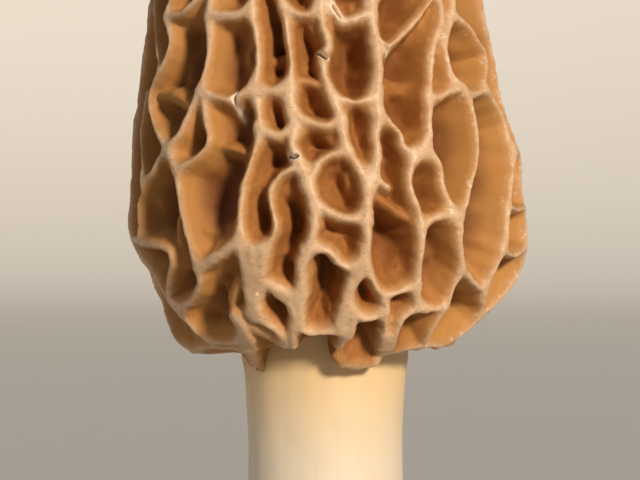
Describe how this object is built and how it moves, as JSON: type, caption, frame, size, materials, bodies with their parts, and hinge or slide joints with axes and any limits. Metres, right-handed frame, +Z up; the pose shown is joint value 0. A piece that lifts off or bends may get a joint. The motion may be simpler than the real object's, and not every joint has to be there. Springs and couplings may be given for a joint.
{
  "type": "morel mushroom",
  "caption": "Picked morel with a tall, deeply pitted honeycomb cap on a smooth pale stem, hollow from its cut foot up into the cap, standing on the cut.",
  "frame": {"origin": "middle of the bounding box's bottom, in the plane of the cut through the stem", "axes": "+Z up along the stem, -Y the front that the camera sees, +X to the viewer's right"},
  "size_m": [0.0601, 0.0595, 0.1294],
  "materials": {
    "cap_flesh": "soft, slightly translucent fungus flesh: cream-tan ridge crests with fine brown specks, golden brown pit walls and dark red-brown pit floors",
    "stem_flesh": "smooth waxy cream flesh with faint lengthwise streaks and fine meal-like grains"
  },
  "bodies": {
    "root": {"fruiting_body": "cap_flesh"}
  },
  "joints": []
}
